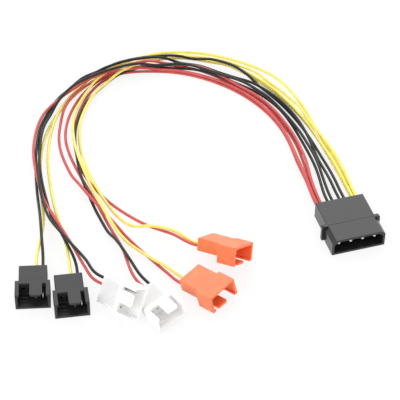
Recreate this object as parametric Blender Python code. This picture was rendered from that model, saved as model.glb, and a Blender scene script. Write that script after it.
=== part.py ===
"""Fan adapter cable: one four-pin power connector feeds six fan connectors through twelve loose leads.

The power connector lies at the origin, its underside on the ground and its mouth facing -Y.
Each lead leaves its back, lies in a wide bow and ends in one of the fan connectors.
Every connector has its own frame: +X out of the mouth, +Y to the left, +Z up from its base.
"""

import math

import bmesh
import bpy
import numpy as np
from mathutils import Euler, Matrix, Vector

MM = 0.001
CONTACT_POSITIONS = 4
SHARP_ANGLE = math.radians(40)
SPLINE_SAMPLES = 40

# Fits between pieces
SEAT_GAP = 0.3 * MM
HOLE_CLEARANCE = 0.3 * MM
CUT_MARGIN = 1.0 * MM

# Power connector housing
POWER_LENGTH = 23.2 * MM
POWER_BACK_WIDTH = 20.5 * MM
POWER_BACK_HEIGHT = 7.4 * MM
POWER_SHELL_LENGTH = 9.4 * MM
POWER_SHELL_WIDTH = 22.4 * MM
POWER_SHELL_HEIGHT = 7.6 * MM
POWER_SHELL_CHAMFER = 1.55 * MM
POWER_WALL = 1.0 * MM
POWER_MOUTH_DEPTH = 8.4 * MM
POWER_PARTITION = 2.0 * MM
POWER_PITCH = 5.08 * MM
POWER_EAR_REACH = 2.1 * MM
POWER_EAR_THICKNESS = 1.3 * MM
POWER_EAR_OVERLAP = 0.5 * MM

# Power contacts
POWER_PIN_DIAMETER = 2.1 * MM
POWER_PIN_SETBACK = 2.0 * MM
POWER_PIN_TAPER = 0.7 * MM
POWER_PIN_TIP_DIAMETER = 1.1 * MM
POWER_BARREL_DIAMETER = 3.6 * MM
POWER_BARREL_LENGTH = 6.2 * MM
POWER_CONTACT_SIDES = 12
POWER_POCKET_SIDES = 16

# Fan connector housing
FAN_BODY_LENGTH = 10.2 * MM
FAN_BODY_WIDTH = 11.0 * MM
FAN_BODY_HEIGHT = 5.3 * MM
FAN_SHROUD_LENGTH = 8.0 * MM
FAN_SHROUD_WIDTH = 13.5 * MM
FAN_SHROUD_HEIGHT = 7.6 * MM
FAN_SIDE_WALL = 1.05 * MM
FAN_FLOOR = 1.0 * MM
FAN_ROOF = 0.9 * MM
FAN_MOUTH_DEPTH = 7.2 * MM
FAN_PARTITION = 2.0 * MM
FAN_PITCH = 2.54 * MM
FAN_LIP_WIDTH = 1.6 * MM
FAN_TONGUE_WIDTH = 4.9 * MM
FAN_SLOT_START = 1.7 * MM
FAN_RIDGE_LENGTH = 0.7 * MM
FAN_RIDGE_HEIGHT = 0.35 * MM
FAN_RIDGE_WIDTH = 3.6 * MM
FAN_RIDGE_SETBACKS = (0.9 * MM, 2.9 * MM, 4.9 * MM)

# Fan contacts
FAN_PIN_SIZE = 0.64 * MM
FAN_PIN_SETBACK = 2.3 * MM
FAN_PIN_TAPER = 0.5 * MM
FAN_PIN_TIP_SIZE = 0.3 * MM
FAN_PIN_HEIGHT = 3.7 * MM
FAN_BARREL_SIZE = 1.6 * MM
FAN_BARREL_LENGTH = 4.0 * MM

# Leads
LEAD_DIAMETER = 1.3 * MM
LEAD_SEAT_GAP = 0.14 * MM
LEAD_GAP = 0.2 * MM
LEAD_LIFT = 0.03 * MM
LEAD_POINTS = 76
LEAD_BEVEL_RESOLUTION = 2
LEAD_STRAIGHT = 5.0 * MM
LEAD_DROP = 26.0 * MM
LEAD_HUMP = 7.0 * MM
LEAD_HOLD = 12.0 * MM
LAY_STEP = 1.0 * MM

# Where each fan connector lies: x, y and the turn of its mouth, then how far it leans and tips up.
# An upside-down one rests on its tongue.
FAN_PLACES = {
    "12v_a": ((-131.0 * MM, -6.5 * MM), -103.0, 0.0, 0.0),
    "12v_b": ((-117.5 * MM, -15.0 * MM), -98.0, 0.0, 0.0),
    "5v_a": ((-91.5 * MM, -23.0 * MM), -57.0, 54.0, 10.0),
    "5v_b": ((-82.0 * MM, -30.0 * MM), -68.5, 10.0, 1.0),
    "7v_a": ((-46.5 * MM, -7.0 * MM), -48.7, 153.0, 12.5),
    "7v_b": ((-61.5 * MM, -25.5 * MM), -61.5, 186.0, 12.0),
}
FAN_COLOURS = {"12v": "black_nylon", "5v": "natural_nylon", "7v": "orange_nylon"}

# Each lead in the order in which it is laid, so that a later one passes over an earlier one:
# colour, fan connector, fan position (0 is the outer one), power position and its place in that pocket
# in half pitches, then the route on the ground in millimetres.
LEADS = {
    "lead_12v_a_yellow": (
        "yellow", "12v_a", 1, 3, (-1, -1),
        ((7, 28.5), (7.5, 42.5), (7, 57), (5, 71), (1.5, 84.5), (-4, 97.5), (-11, 109.5), (-20, 120),
         (-32.5, 127), (-46.5, 129), (-60.5, 126.5), (-73.5, 121.5), (-85, 113.5), (-95, 103.5),
         (-103, 92), (-108.5, 79), (-112, 65.5), (-114.5, 51.5), (-117, 37.5), (-121.5, 24)),
    ),
    "lead_12v_b_yellow": (
        "yellow", "12v_b", 1, 3, (1, -1),
        ((8.5, 28.5), (8.5, 43.5), (8.5, 58), (8.5, 73), (7, 87.5), (2.5, 101.5), (-6.5, 113),
         (-18, 122.5), (-31, 129), (-45.5, 130.5), (-60, 128), (-73.5, 122.5), (-85.5, 113.5),
         (-95, 102.5), (-102, 89.5), (-106.5, 75.5), (-109, 61), (-110.5, 46), (-111, 31.5),
         (-112, 16.5)),
    ),
    "lead_7v_a_red": (
        "red", "7v_a", 0, 0, (-1, -1),
        ((-7.5, 28.5), (-6.5, 42.5), (-5.5, 56.5), (-6.5, 70.5), (-10.5, 84), (-17, 96), (-26, 106.5),
         (-37.5, 115), (-50.5, 120), (-64.5, 121.5), (-76.5, 115), (-85, 104), (-91, 91.5), (-94, 78),
         (-94.5, 64), (-91.5, 50), (-86, 37.5), (-78, 25.5), (-70, 14)),
    ),
    "lead_5v_b_red": (
        "red", "5v_b", 1, 0, (1, -1),
        ((-6, 28.5), (-4, 42.5), (-3, 56.5), (-4.5, 71), (-7.5, 84.5), (-14.5, 97), (-22.5, 108.5),
         (-33, 118), (-46, 123.5), (-60, 124), (-73.5, 119.5), (-84, 110.5), (-92, 98.5), (-96.5, 85.5),
         (-97, 71), (-95.5, 57), (-93.5, 43), (-92, 29), (-90.5, 15), (-91, 1)),
    ),
    "lead_5v_b_black": (
        "black", "5v_b", 0, 1, (-1.4, 0),
        ((-2, 28.5), (0, 43), (0, 57.5), (-1, 72), (-5, 86), (-14, 97.5), (-23.5, 108.5), (-35, 117),
         (-49, 121.5), (-63.5, 120), (-76, 112.5), (-85, 101.5), (-91.5, 88), (-94.5, 74), (-96, 59.5),
         (-95.5, 45), (-94, 30.5), (-92, 16), (-89.5, 1.5)),
    ),
    "lead_7v_b_red": (
        "red", "7v_b", 0, 0, (-1, 1),
        ((-7.5, 28.5), (-6.5, 42.5), (-5.5, 56.5), (-6.5, 70.5), (-10.5, 84.5), (-17, 96.5), (-26.5, 107),
         (-38, 115), (-51.5, 119.5), (-65.5, 120.5), (-78.5, 116.5), (-89.5, 107.5), (-96.5, 95),
         (-100, 81.5), (-100, 67.5), (-98, 53.5), (-94, 40), (-89, 26.5), (-84, 13.5), (-78.5, 0.5)),
    ),
    "lead_7v_b_yellow": (
        "yellow", "7v_b", 1, 3, (-1, 1),
        ((7, 28.5), (7, 43.5), (6.5, 58), (4.5, 72.5), (0.5, 87), (-5.5, 100.5), (-14.5, 112),
         (-26, 121.5), (-39.5, 126.5), (-54, 125.5), (-68, 120.5), (-80, 112), (-88.5, 100), (-93, 86),
         (-94.5, 71.5), (-94, 56.5), (-93, 42), (-91, 27), (-86, 13.5), (-78, 1)),
    ),
    "lead_7v_a_yellow": (
        "yellow", "7v_a", 1, 3, (1, 1),
        ((9, 28.5), (9, 42.5), (7.5, 56.5), (6, 70.5), (4.5, 84.5), (-1, 97.5), (-10, 108.5),
         (-20.5, 117.5), (-33, 124), (-47, 123.5), (-60.5, 119.5), (-73.5, 113.5), (-82.5, 103),
         (-89, 90.5), (-92, 76.5), (-93, 62.5), (-91.5, 48.5), (-88, 35), (-80.5, 23), (-69, 15)),
    ),
    "lead_12v_b_black": (
        "black", "12v_b", 0, 2, (1.4, 0),
        ((4, 28.5), (4.5, 43), (4, 57), (2, 71.5), (-1.5, 85), (-7, 98.5), (-14.5, 110.5), (-26, 119),
         (-39.5, 124), (-53.5, 125.5), (-67.5, 124), (-81.5, 120), (-93.5, 112.5), (-101.5, 100.5),
         (-107, 87.5), (-110.5, 73.5), (-112.5, 59), (-113, 45), (-112.5, 30.5), (-111, 16.5)),
    ),
    "lead_12v_a_black": (
        "black", "12v_a", 0, 2, (-1.4, 0),
        ((2, 28.5), (2.5, 43), (3, 57.5), (2, 72), (-2, 86), (-9, 98.5), (-18.5, 109), (-30.5, 117.5),
         (-44, 122), (-58.5, 123.5), (-72.5, 120.5), (-86, 115.5), (-97, 106.5), (-105, 94.5), (-110, 81),
         (-113.5, 67), (-116, 52.5), (-118, 38.5), (-120.5, 24)),
    ),
    "lead_5v_a_red": (
        "red", "5v_a", 1, 0, (1, 1),
        ((-6, 28.5), (-3.5, 42.5), (-2.5, 57), (-4, 71.5), (-8, 85), (-16, 97), (-24, 109), (-35, 117.5),
         (-49, 120.5), (-63, 119.5), (-77, 116), (-90.5, 110.5), (-101.5, 101.5), (-108.5, 89),
         (-112.5, 75.5), (-114, 61), (-114, 47), (-112.5, 32.5), (-110, 18.5), (-108, 4.5)),
    ),
    "lead_5v_a_black": (
        "black", "5v_a", 0, 1, (1.4, 0),
        ((-0.5, 28.5), (1, 42.5), (1, 57), (-1, 71), (-5, 84.5), (-13, 96), (-23.5, 106), (-33.5, 115.5),
         (-47.5, 118.5), (-61.5, 118.5), (-75.5, 116), (-88.5, 110.5), (-99, 101), (-106, 88.5),
         (-110, 75), (-113.5, 61), (-115, 47), (-114.5, 33), (-111, 19), (-107, 5.5)),
    ),
}

# Colour, roughness and metallic value of each material
MATERIALS = {
    "black_nylon": ((0.055, 0.055, 0.06, 1.0), 0.5, 0.0),
    "natural_nylon": ((0.86, 0.85, 0.80, 1.0), 0.35, 0.0),
    "orange_nylon": ((1.0, 0.20, 0.07, 1.0), 0.4, 0.0),
    "tinned_brass": ((0.80, 0.79, 0.76, 1.0), 0.25, 1.0),
    "yellow": ((0.95, 0.78, 0.05, 1.0), 0.4, 0.0),
    "red": ((0.70, 0.06, 0.06, 1.0), 0.4, 0.0),
    "black": ((0.03, 0.03, 0.03, 1.0), 0.4, 0.0),
}

# Worked out from the sizes above
POWER_POCKET_DIAMETER = POWER_BARREL_DIAMETER + 2 * HOLE_CLEARANCE
POWER_POCKET_FRONT = -(POWER_MOUTH_DEPTH + POWER_PARTITION)
POWER_PIN_HEIGHT = POWER_BACK_HEIGHT / 2
FAN_LENGTH = FAN_SHROUD_LENGTH + FAN_BODY_LENGTH
FAN_POCKET_SIZE = FAN_BARREL_SIZE + 2 * HOLE_CLEARANCE
FAN_POCKET_FRONT = -(FAN_MOUTH_DEPTH + FAN_PARTITION)
LEAD_RADIUS = LEAD_DIAMETER / 2
LEAD_SEAT_PITCH = LEAD_DIAMETER + LEAD_SEAT_GAP


def clear_scene():
    for thing in list(bpy.data.objects):
        bpy.data.objects.remove(thing)


def make_materials():
    """One Principled material for each entry of MATERIALS."""
    made = {}
    for name, (colour, roughness, metallic) in MATERIALS.items():
        material = bpy.data.materials.new(name)
        material.use_nodes = True
        shader = material.node_tree.nodes["Principled BSDF"]
        shader.inputs["Base Color"].default_value = colour
        shader.inputs["Roughness"].default_value = roughness
        shader.inputs["Metallic"].default_value = metallic
        material.diffuse_color = colour
        made[name] = material
    return made


def add_object(name, mesh):
    thing = bpy.data.objects.new(name, mesh)
    bpy.context.collection.objects.link(thing)
    return thing


def add_box(form, low, high):
    """Adds a box between two corners to a bmesh."""
    low, high = Vector(low), Vector(high)
    made = bmesh.ops.create_cube(form, size=1.0)["verts"]
    size = high - low
    bmesh.ops.transform(
        form, matrix=Matrix.Translation((low + high) / 2) @ Matrix.Diagonal((*size, 1.0)), verts=made
    )


def boxes_object(name, boxes):
    """One object of boxes that don't touch each other, each given by its two corners."""
    form = bmesh.new()
    for low, high in boxes:
        add_box(form, low, high)
    mesh = bpy.data.meshes.new(name)
    form.to_mesh(mesh)
    form.free()
    return add_object(name, mesh)


def prism_object(name, outline, start, end):
    """A (y, z) outline, listed anticlockwise as seen from the mouth, extruded along x from start to end."""
    form = bmesh.new()
    face = form.faces.new([form.verts.new((start, y, z)) for y, z in outline])
    moved = bmesh.ops.extrude_face_region(form, geom=[face])["geom"]
    corners = [item for item in moved if isinstance(item, bmesh.types.BMVert)]
    bmesh.ops.translate(form, vec=(end - start, 0, 0), verts=corners)
    bmesh.ops.recalc_face_normals(form, faces=form.faces)
    mesh = bpy.data.meshes.new(name)
    form.to_mesh(mesh)
    form.free()
    return add_object(name, mesh)


def turned_mesh(name, profile, sides, first_angle):
    """A profile of (x, radius) stations carried round the X axis, closed at both ends."""
    form = bmesh.new()
    rings = []
    for x, radius in profile:
        angles = [first_angle + 2 * math.pi * k / sides for k in range(sides)]
        rings.append([form.verts.new((x, radius * math.cos(a), radius * math.sin(a))) for a in angles])
    for ring, following in zip(rings, rings[1:]):
        for k in range(sides):
            after = (k + 1) % sides
            form.faces.new((ring[k], ring[after], following[after], following[k]))
    form.faces.new(rings[0])
    form.faces.new(list(reversed(rings[-1])))
    bmesh.ops.recalc_face_normals(form, faces=form.faces)
    mesh = bpy.data.meshes.new(name)
    form.to_mesh(mesh)
    form.free()
    return mesh


def as_cutter(thing):
    thing.hide_render = True
    thing.display_type = "WIRE"
    return thing


def combine(body, others, operation):
    """Joins the other objects to the body, or cuts them from it, with live Booleans."""
    for other in others:
        as_cutter(other)
        modifier = body.modifiers.new(f"{operation.lower()} {other.name}", "BOOLEAN")
        modifier.operation = operation
        modifier.solver = "EXACT"
        modifier.object = other


def finished_mesh(body, helpers, name):
    """The evaluated shape of a body as a mesh of its own; the body and its helpers are removed."""
    bpy.context.view_layer.update()
    graph = bpy.context.evaluated_depsgraph_get()
    mesh = bpy.data.meshes.new_from_object(body.evaluated_get(graph))
    mesh.name = name
    mesh.materials.clear()
    for thing in (body, *helpers):
        bpy.data.objects.remove(thing)
    return mesh


def centred_row(pitch):
    """The y of every contact position in a row centred on the connector."""
    return [(k - (CONTACT_POSITIONS - 1) / 2) * pitch for k in range(CONTACT_POSITIONS)]


def power_positions():
    """The y of the power contacts, from the connector's right to its left."""
    return centred_row(POWER_PITCH)


def fan_positions():
    """The y of the fan positions, from the connector's left, where the leads are, to its right."""
    return centred_row(-FAN_PITCH)


def shell_outline(width, top, bottom, chamfer):
    """A flat-bottomed outline with its two top corners cut off."""
    half = width / 2
    return [
        (-half, bottom),
        (half, bottom),
        (half, top - chamfer),
        (half - chamfer, top),
        (-half + chamfer, top),
        (-half, top - chamfer),
    ]


def round_cutters(name, diameter, back, front, sides):
    """Round holes along x, one at each power contact."""
    cutters = []
    profile = ((back, diameter / 2), (front, diameter / 2))
    for index, y in enumerate(power_positions()):
        mesh = turned_mesh(f"{name}_{index + 1}", profile, sides, math.pi / sides)
        cutter = add_object(mesh.name, mesh)
        cutter.location = (0, y, POWER_PIN_HEIGHT)
        cutters.append(cutter)
    return cutters


def power_housing_mesh():
    """A wide front shell with cut-off top corners on a plainer back block, with an ear on each side."""
    shell_back = -POWER_SHELL_LENGTH
    shell = prism_object(
        "power_shell",
        shell_outline(POWER_SHELL_WIDTH, POWER_SHELL_HEIGHT, 0.0, POWER_SHELL_CHAMFER),
        shell_back,
        0.0,
    )
    half = POWER_BACK_WIDTH / 2
    back = boxes_object(
        "power_back",
        [((-POWER_LENGTH, -half, 0), (shell_back + POWER_EAR_OVERLAP, half, POWER_BACK_HEIGHT))],
    )
    ear_front = shell_back + POWER_EAR_OVERLAP
    ear_back = shell_back - POWER_EAR_THICKNESS
    ears = boxes_object(
        "power_ears",
        [
            (
                (ear_back, side * (half + POWER_EAR_REACH), 0),
                (ear_front, side * (half - POWER_EAR_OVERLAP), POWER_BACK_HEIGHT),
            )
            for side in (-1, 1)
        ],
    )
    mouth = prism_object(
        "power_mouth",
        shell_outline(
            POWER_SHELL_WIDTH - 2 * POWER_WALL,
            POWER_SHELL_HEIGHT - POWER_WALL,
            POWER_WALL,
            POWER_SHELL_CHAMFER,
        ),
        -POWER_MOUTH_DEPTH,
        CUT_MARGIN,
    )
    pockets = round_cutters(
        "power_pocket",
        POWER_POCKET_DIAMETER,
        -POWER_LENGTH - CUT_MARGIN,
        POWER_POCKET_FRONT,
        POWER_POCKET_SIDES,
    )
    pin_hole = POWER_PIN_DIAMETER + 2 * HOLE_CLEARANCE
    holes = round_cutters(
        "power_hole",
        pin_hole,
        POWER_POCKET_FRONT - CUT_MARGIN,
        -POWER_MOUTH_DEPTH + CUT_MARGIN,
        POWER_CONTACT_SIDES,
    )
    combine(shell, [back, ears], "UNION")
    combine(shell, [mouth, *pockets, *holes], "DIFFERENCE")
    return finished_mesh(shell, [back, ears, mouth, *pockets, *holes], "power_housing")


def fan_slot_boxes():
    """The two openings beside the tongue, cut through the roof from the front."""
    start = -FAN_SHROUD_LENGTH + FAN_SLOT_START
    lip_edge = FAN_SHROUD_WIDTH / 2 - FAN_LIP_WIDTH
    tongue_centre = fan_positions()[1]
    low = FAN_SHROUD_HEIGHT - FAN_ROOF - CUT_MARGIN
    high = FAN_SHROUD_HEIGHT + CUT_MARGIN
    spans = (
        (-lip_edge, tongue_centre - FAN_TONGUE_WIDTH / 2),
        (tongue_centre + FAN_TONGUE_WIDTH / 2, lip_edge),
    )
    return [((start, left, low), (CUT_MARGIN, right, high)) for left, right in spans]


def fan_housing_mesh():
    """A narrow back body with four pockets, and a wider shroud with a tongue, two slots and floor ridges."""
    overlap = FAN_SHROUD_LENGTH - FAN_MOUTH_DEPTH
    half = FAN_SHROUD_WIDTH / 2
    shroud = boxes_object(
        "fan_shroud", [((-FAN_SHROUD_LENGTH, -half, 0), (0, half, FAN_SHROUD_HEIGHT))]
    )
    body_half = FAN_BODY_WIDTH / 2
    body = boxes_object(
        "fan_body",
        [((-FAN_LENGTH, -body_half, 0), (-FAN_SHROUD_LENGTH + overlap / 2, body_half, FAN_BODY_HEIGHT))],
    )
    mouth_half = half - FAN_SIDE_WALL
    mouth = boxes_object(
        "fan_mouth",
        [
            (
                (-FAN_MOUTH_DEPTH, -mouth_half, FAN_FLOOR),
                (CUT_MARGIN, mouth_half, FAN_SHROUD_HEIGHT - FAN_ROOF),
            )
        ],
    )
    slots = boxes_object("fan_slots", fan_slot_boxes())
    pocket_half = FAN_POCKET_SIZE / 2
    pockets = boxes_object(
        "fan_pockets",
        [
            (
                (-FAN_LENGTH - CUT_MARGIN, y - pocket_half, FAN_PIN_HEIGHT - pocket_half),
                (FAN_POCKET_FRONT, y + pocket_half, FAN_PIN_HEIGHT + pocket_half),
            )
            for y in fan_positions()
        ],
    )
    hole_half = FAN_PIN_SIZE / 2 + HOLE_CLEARANCE
    holes = boxes_object(
        "fan_holes",
        [
            (
                (FAN_POCKET_FRONT - CUT_MARGIN, y - hole_half, FAN_PIN_HEIGHT - hole_half),
                (-FAN_MOUTH_DEPTH + CUT_MARGIN, y + hole_half, FAN_PIN_HEIGHT + hole_half),
            )
            for y in fan_positions()
        ],
    )
    ridge_right = -mouth_half + FAN_SIDE_WALL / 2
    ridges = boxes_object(
        "fan_ridges",
        [
            (
                (-setback - FAN_RIDGE_LENGTH, ridge_right, FAN_FLOOR / 2),
                (-setback, ridge_right + FAN_RIDGE_WIDTH, FAN_FLOOR + FAN_RIDGE_HEIGHT),
            )
            for setback in FAN_RIDGE_SETBACKS
        ],
    )
    combine(shroud, [body], "UNION")
    combine(shroud, [mouth, slots, pockets, holes], "DIFFERENCE")
    combine(shroud, [ridges], "UNION")
    helpers = [body, mouth, slots, pockets, holes, ridges]
    return finished_mesh(shroud, helpers, "fan_housing")


def power_contact_mesh():
    """A round pin with a tapered tip, and a wider barrel behind the partition for the leads."""
    barrel_front = POWER_POCKET_FRONT - SEAT_GAP
    barrel_back = barrel_front - POWER_BARREL_LENGTH
    tip = -POWER_PIN_SETBACK
    profile = (
        (barrel_back, POWER_BARREL_DIAMETER / 2),
        (barrel_front, POWER_BARREL_DIAMETER / 2),
        (barrel_front, POWER_PIN_DIAMETER / 2),
        (tip - POWER_PIN_TAPER, POWER_PIN_DIAMETER / 2),
        (tip, POWER_PIN_TIP_DIAMETER / 2),
    )
    return turned_mesh("power_contact", profile, POWER_CONTACT_SIDES, math.pi / POWER_CONTACT_SIDES)


def fan_contact_mesh():
    """A square pin with a tapered tip, and a square barrel behind the partition for the lead."""
    across = math.sqrt(2) / 2
    barrel_front = FAN_POCKET_FRONT - SEAT_GAP
    barrel_back = barrel_front - FAN_BARREL_LENGTH
    tip = -FAN_PIN_SETBACK
    profile = (
        (barrel_back, FAN_BARREL_SIZE * across),
        (barrel_front, FAN_BARREL_SIZE * across),
        (barrel_front, FAN_PIN_SIZE * across),
        (tip - FAN_PIN_TAPER, FAN_PIN_SIZE * across),
        (tip, FAN_PIN_TIP_SIZE * across),
    )
    return turned_mesh("fan_contact", profile, 4, math.pi / 4)


def add_frame(name, location, turn):
    """An empty that carries one connector's pieces."""
    frame = bpy.data.objects.new(name, None)
    frame.location = location
    frame.rotation_euler = turn
    bpy.context.collection.objects.link(frame)
    return frame


def add_piece(name, mesh, material, frame, location=(0, 0, 0)):
    piece = add_object(name, mesh)
    if not mesh.materials:
        mesh.materials.append(None)
    piece.material_slots[0].link = "OBJECT"
    piece.material_slots[0].material = material
    piece.parent = frame
    piece.location = location
    return piece


def resting_height(turn):
    """How high a turned fan connector's origin stands when its lowest corner is on the ground."""
    corners = [
        (x, side * FAN_SHROUD_WIDTH / 2, z)
        for x in (-FAN_SHROUD_LENGTH, 0)
        for side in (-1, 1)
        for z in (0, FAN_SHROUD_HEIGHT)
    ]
    corners += [
        (-FAN_LENGTH, side * FAN_BODY_WIDTH / 2, z) for side in (-1, 1) for z in (0, FAN_BODY_HEIGHT)
    ]
    return -min((turn.to_matrix() @ Vector(corner)).z for corner in corners)


def fan_frame(place):
    """The place and turn of one fan connector."""
    (x, y), heading, lean, tip_up = FAN_PLACES[place]
    turn = Euler((math.radians(lean), -math.radians(tip_up), math.radians(heading)))
    return Matrix.Translation((x, y, resting_height(turn))) @ turn.to_matrix().to_4x4()


def power_frame():
    turn = Euler((0, 0, -math.pi / 2))
    return Matrix.Translation((0, -POWER_LENGTH / 2, 0)) @ turn.to_matrix().to_4x4()


def power_end(position, seat):
    """A lead's end in the power connector: butting the barrel, then straight out of the back."""
    y = power_positions()[position] + seat[0] * LEAD_SEAT_PITCH / 2
    z = POWER_PIN_HEIGHT + seat[1] * LEAD_SEAT_PITCH / 2
    inner = POWER_POCKET_FRONT - SEAT_GAP - POWER_BARREL_LENGTH - SEAT_GAP
    stations = (inner, -POWER_LENGTH - LEAD_DIAMETER, -POWER_LENGTH - LEAD_STRAIGHT)
    frame = power_frame()
    return [frame @ Vector((x, y, z)) for x in stations]


def fan_end(place, position):
    """A lead's end in a fan connector: straight into the back, butting the barrel."""
    y = fan_positions()[position]
    inner = FAN_POCKET_FRONT - SEAT_GAP - FAN_BARREL_LENGTH - SEAT_GAP
    stations = (-FAN_LENGTH - LEAD_STRAIGHT, -FAN_LENGTH - LEAD_DIAMETER, inner)
    frame = fan_frame(place)
    return [frame @ Vector((x, y, FAN_PIN_HEIGHT)) for x in stations]


def smooth_curve(points, step):
    """A natural cubic spline through the points by their chord lengths, read at even steps along it."""
    points = np.asarray(points, float)
    knots = np.concatenate([[0.0], np.cumsum(np.linalg.norm(np.diff(points, axis=0), axis=1))])
    count = len(points)
    gaps = np.diff(knots)
    system = np.eye(count)
    right = np.zeros_like(points)
    for k in range(1, count - 1):
        system[k, k - 1:k + 2] = gaps[k - 1], 2 * (gaps[k - 1] + gaps[k]), gaps[k]
        slope_after = (points[k + 1] - points[k]) / gaps[k]
        slope_before = (points[k] - points[k - 1]) / gaps[k - 1]
        right[k] = 6 * (slope_after - slope_before)
    bends = np.linalg.solve(system, right)
    at = np.linspace(0, knots[-1], SPLINE_SAMPLES * count)
    span = np.clip(np.searchsorted(knots, at, side="right") - 1, 0, count - 2)
    gap = gaps[span][:, None]
    a = (knots[span + 1] - at)[:, None] / gap
    b = 1 - a
    curve = a * points[span] + b * points[span + 1]
    curve += ((a**3 - a) * bends[span] + (b**3 - b) * bends[span + 1]) * gap**2 / 6
    return evenly_read(curve, step)


def evenly_read(curve, step=None, count=None):
    """A polyline read again at even lengths, by step or by count."""
    along = np.concatenate([[0.0], np.cumsum(np.linalg.norm(np.diff(curve, axis=0), axis=1))])
    count = count or int(round(along[-1] / step)) + 1
    at = np.linspace(0, along[-1], count)
    return np.stack([np.interp(at, along, column) for column in curve.T], axis=1)


def ease(t):
    """0 below 0, 1 above 1 and a smooth step between."""
    t = np.clip(t, 0, 1)
    return t * t * (3 - 2 * t)


def lay_over(plan, start, end, laid):
    """The height of a lead along its plan, over the ground and over the leads already laid.

    It leaves each end in line with its pocket, drops to the ground, and where it passes over an
    earlier lead it rises in a long low hump: the height it needs is widened both ways and then
    averaged over that width.
    """
    rest = LEAD_RADIUS + LEAD_LIFT
    along = np.concatenate([[0.0], np.cumsum(np.linalg.norm(np.diff(plan, axis=0), axis=1))])
    own = np.full(len(plan), rest)
    free = np.ones(len(plan))
    for travelled, (inner, mouth, outer) in ((along, start), (along[-1] - along, end)):
        inside = (mouth - inner).xy.length
        straight = inside + (outer - mouth).xy.length
        line = inner.z + travelled * (mouth.z - inner.z) / inside
        own += (np.maximum(line, rest) - rest) * (1 - ease((travelled - straight) / LEAD_DROP))
        free = np.minimum(free, ease((travelled - inside) / LEAD_HOLD))
    need = own.copy()
    reach = LEAD_DIAMETER + LEAD_GAP
    for earlier in laid:
        apart = ((plan[:, None, :] - earlier[None, :, :2]) ** 2).sum(axis=2)
        over = earlier[None, :, 2] + np.sqrt(np.maximum(reach**2 - apart, 0))
        need = np.maximum(need, np.where(apart < reach**2, over, 0).max(axis=1))
    width = int(round(LEAD_HUMP / LAY_STEP))
    padded = np.pad(need, width, mode="edge")
    widened = np.max([padded[k:k + len(need)] for k in range(2 * width + 1)], axis=0)
    weights = 1 + np.cos(np.linspace(-math.pi, math.pi, 2 * width + 3)[1:-1])
    averaged = np.convolve(np.pad(widened, width, mode="edge"), weights / weights.sum(), mode="valid")
    return own + (averaged - own) * free


def laid_leads():
    """The centre line of every lead, laid in order, each over those before it."""
    lines = {}
    for name, (_, place, fan_position, power_position, seat, route) in LEADS.items():
        start = power_end(power_position, seat)
        end = fan_end(place, fan_position)
        points = [point[:2] for point in start]
        points += [(x * MM, y * MM) for x, y in route]
        points += [point[:2] for point in end]
        plan = smooth_curve(points, LAY_STEP)
        height = lay_over(plan, start, end[::-1], lines.values())
        lines[name] = np.column_stack([plan, height])
    return lines


def add_lead(name, line, material):
    """A round tube on a poly curve along the lead's centre line."""
    curve = bpy.data.curves.new(name, "CURVE")
    curve.dimensions = "3D"
    curve.bevel_depth = LEAD_RADIUS
    curve.bevel_resolution = LEAD_BEVEL_RESOLUTION
    curve.use_fill_caps = True
    spline = curve.splines.new("POLY")
    points = evenly_read(line, count=LEAD_POINTS)
    spline.points.add(len(points) - 1)
    spline.points.foreach_set("co", np.column_stack([points, np.ones(len(points))]).ravel())
    spline.use_smooth = True
    curve.materials.append(material)
    return add_object(name, curve)


def build_power_connector(materials):
    """The housing with its row of contacts, in the power connector's frame."""
    location, turn, _ = power_frame().decompose()
    frame = add_frame("power_frame", location, turn.to_euler())
    add_piece("power_housing", power_housing_mesh(), materials["black_nylon"], frame)
    mesh = power_contact_mesh()
    mesh.shade_smooth()
    mesh.set_sharp_from_angle(angle=SHARP_ANGLE)
    for index, y in enumerate(power_positions()):
        name = f"power_contact_{index + 1}"
        add_piece(name, mesh, materials["tinned_brass"], frame, (0, y, POWER_PIN_HEIGHT))


def build_fan_connectors(materials):
    """A housing with two contacts in each fan connector's frame; like pieces share one mesh."""
    housing = fan_housing_mesh()
    contact = fan_contact_mesh()
    for place in FAN_PLACES:
        location, turn, _ = fan_frame(place).decompose()
        frame = add_frame(f"fan_frame_{place}", location, turn.to_euler())
        colour = FAN_COLOURS[place.split("_")[0]]
        add_piece(f"fan_housing_{place}", housing, materials[colour], frame)
        for index, y in enumerate(fan_positions()[:2]):
            name = f"fan_contact_{place}_{index + 1}"
            add_piece(name, contact, materials["tinned_brass"], frame, (0, y, FAN_PIN_HEIGHT))


def build_leads(materials):
    for name, line in laid_leads().items():
        add_lead(name, line, materials[LEADS[name][0]])


def main():
    clear_scene()
    materials = make_materials()
    build_power_connector(materials)
    build_fan_connectors(materials)
    build_leads(materials)


main()
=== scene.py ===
"""Looks of the fan adapter cable, laid out as an add-on: one operator for each group of like pieces.

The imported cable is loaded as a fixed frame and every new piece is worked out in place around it.
Every connector has its own frame: +X out of the mouth, +Y to the left, +Z up from its base.
"""

import math

import bpy
import numpy as np
from bpy.props import FloatProperty, FloatVectorProperty, IntProperty, PointerProperty
from mathutils import Euler, Matrix, Quaternion, Vector


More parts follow.
